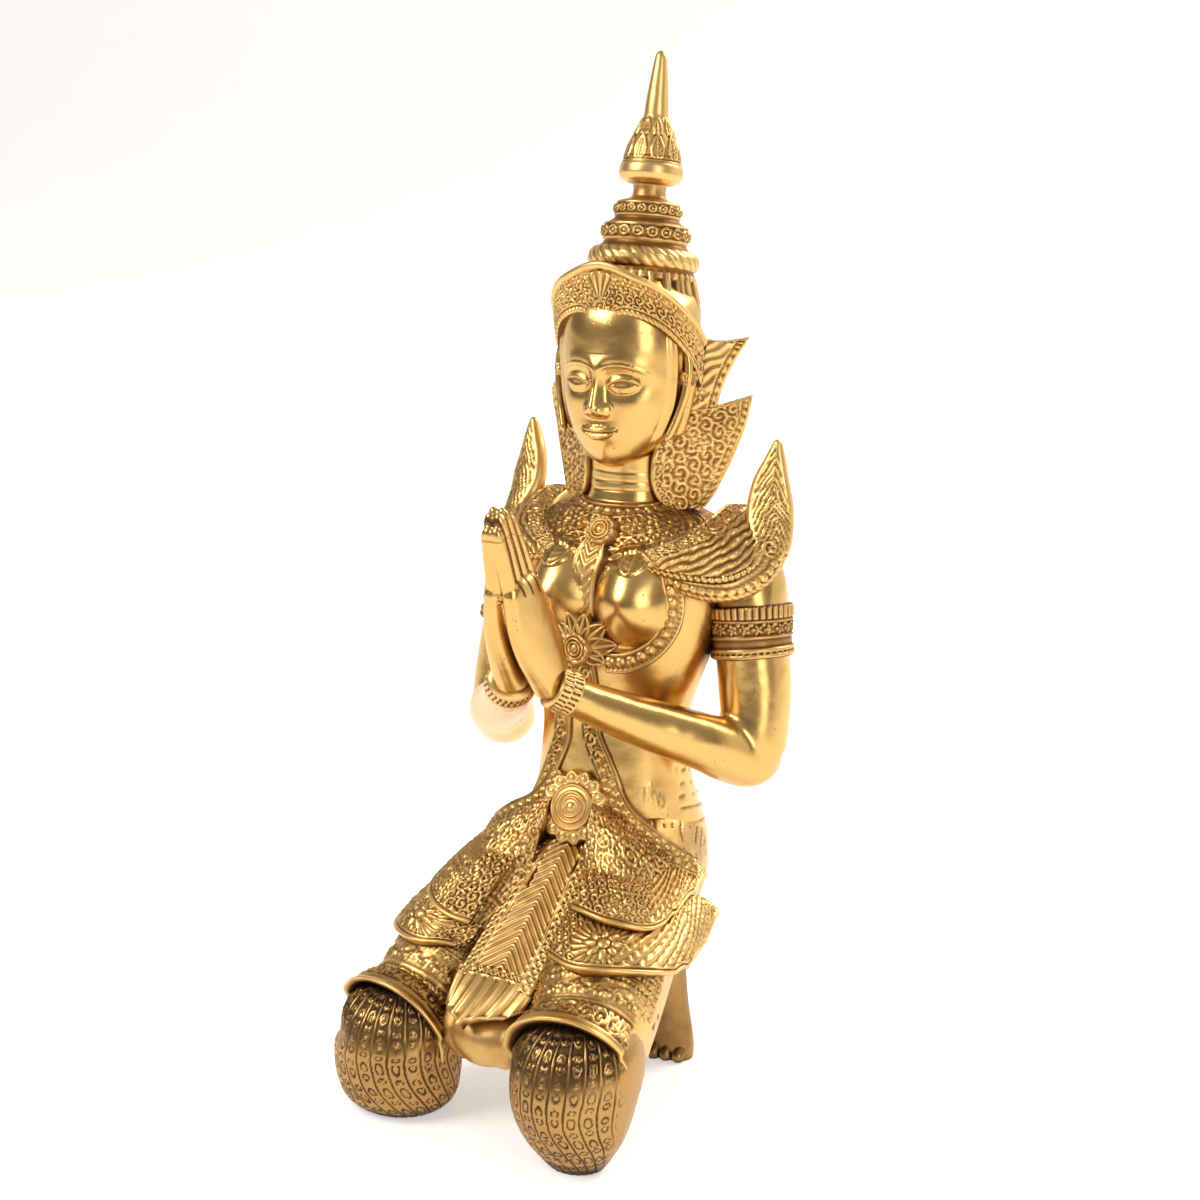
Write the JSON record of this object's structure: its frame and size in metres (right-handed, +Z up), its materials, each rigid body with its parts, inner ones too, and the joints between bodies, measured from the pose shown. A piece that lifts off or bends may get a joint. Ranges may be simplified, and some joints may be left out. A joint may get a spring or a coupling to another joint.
{
  "type": "theppanom statue",
  "caption": "Kneeling angel with palms pressed together, cast in brass, in a tall tiered pointed crown, with flame-shaped ear and shoulder ornaments and a layered skirt.",
  "frame": {"origin": "middle of the bounding box's underside, on the surface that the figure kneels on", "axes": "+Z up along the figure, -Y the way it faces, +X to its left"},
  "size_m": [0.1346, 0.1498, 0.3801],
  "materials": {
    "brass": "polished cast brass, with dark brown patina in the recesses of the carving"
  },
  "bodies": {
    "root": {"theppanom": "brass"}
  },
  "joints": []
}
